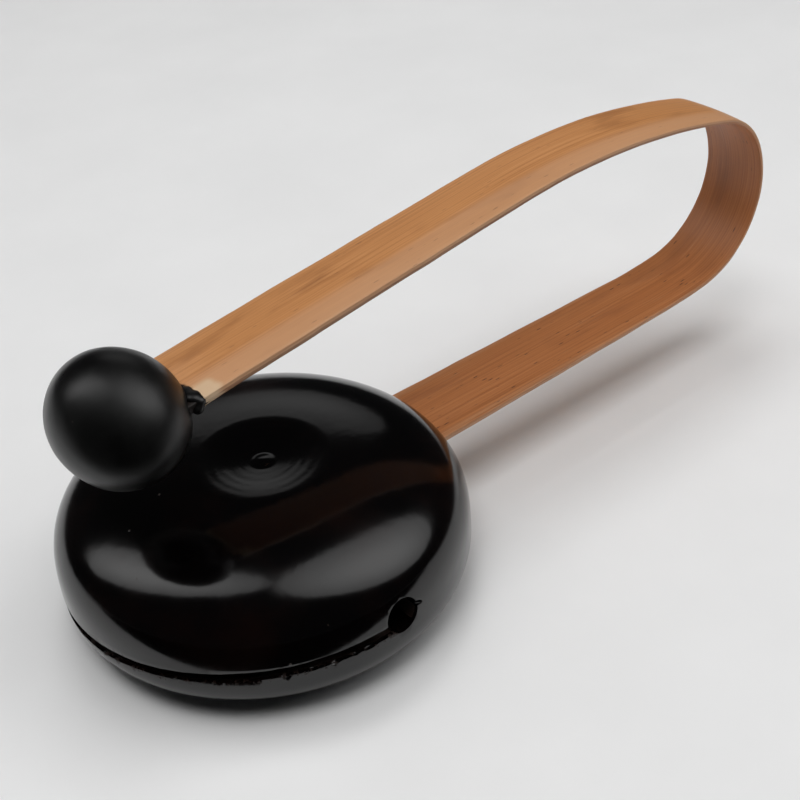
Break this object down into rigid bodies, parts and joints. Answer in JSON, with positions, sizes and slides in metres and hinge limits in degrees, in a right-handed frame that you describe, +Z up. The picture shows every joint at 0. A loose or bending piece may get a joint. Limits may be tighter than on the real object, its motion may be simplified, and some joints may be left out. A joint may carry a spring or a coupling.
{
  "type": "slit-block clapper",
  "caption": "Slit wooden sound block with a bent bamboo strip spring that carries a wooden ball beater above its rim.",
  "frame": {"origin": "centre of the flat foot under the sound block", "axes": "+Z up along the block's turning axis, +X from the ball towards the bend of the strip"},
  "size_m": [0.152, 0.07, 0.0559],
  "materials": {
    "black_lacquer": "gloss black lacquer on turned hardwood",
    "bamboo": "satin, stained bamboo",
    "pale_wood": "raw split bamboo"
  },
  "bodies": {
    "block": {"sound_block": "black_lacquer", "strip_lower": "bamboo", "block_wedge": "pale_wood"},
    "beater": {"strip_upper": "bamboo", "ball_beater": "black_lacquer", "ball_wedge": "pale_wood"}
  },
  "joints": [
    {"name": "strip_flex", "type": "hinge", "parent": "block", "child": "beater", "pos_m": [0.11622, 0, 0.03492], "axis": [0, -1, 0], "range_deg": [-10, 4], "stiffness_Nm_per_rad": 2.5}
  ]
}
